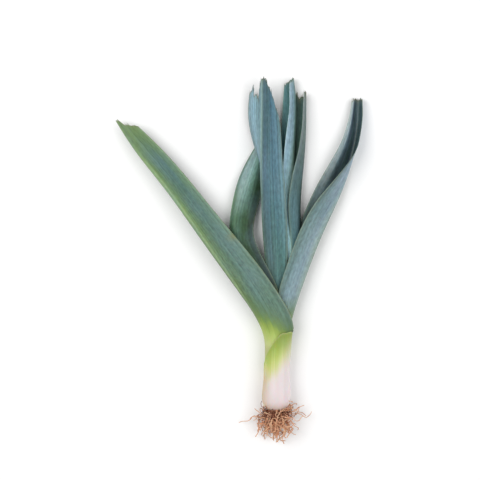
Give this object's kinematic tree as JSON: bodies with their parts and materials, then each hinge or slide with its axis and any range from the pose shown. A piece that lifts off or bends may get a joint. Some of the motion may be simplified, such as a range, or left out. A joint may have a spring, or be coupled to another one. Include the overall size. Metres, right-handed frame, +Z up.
{
  "type": "leek",
  "caption": "Whole leek lying on its side, with a white shaft, a small bulb with a tuft of dry roots, and a flat fan of folded green leaves.",
  "frame": {"origin": "on the supporting surface, on the flat that runs along the underside of the bulb and shaft", "axes": "+Z up; +Y along the plant from its roots to its leaf tips; +X to the right as seen from above with the tips pointing away"},
  "size_m": [0.3265, 0.4817, 0.0371],
  "materials": {
    "white_shaft": "satin",
    "blue_green_leaf": "satin",
    "dry_root": "matte"
  },
  "bodies": {
    "root": {"shaft": "white_shaft", "root_plate": "dry_root", "leaf_front_left": "blue_green_leaf", "leaf_right": "blue_green_leaf", "leaf_mid_left": "blue_green_leaf", "leaf_mid_right": "blue_green_leaf", "leaf_centre": "blue_green_leaf", "leaf_back_right": "blue_green_leaf", "root_01": "dry_root", "root_02": "dry_root", "root_03": "dry_root", "root_04": "dry_root", "root_05": "dry_root", "root_06": "dry_root", "root_07": "dry_root", "root_08": "dry_root", "root_09": "dry_root", "root_10": "dry_root", "root_11": "dry_root", "root_12": "dry_root", "root_13": "dry_root", "root_14": "dry_root", "root_15": "dry_root", "root_16": "dry_root", "root_17": "dry_root", "root_18": "dry_root", "root_19": "dry_root", "root_20": "dry_root", "root_21": "dry_root", "root_22": "dry_root", "root_23": "dry_root", "root_24": "dry_root", "root_25": "dry_root", "root_26": "dry_root", "root_27": "dry_root", "root_28": "dry_root"}
  },
  "joints": []
}
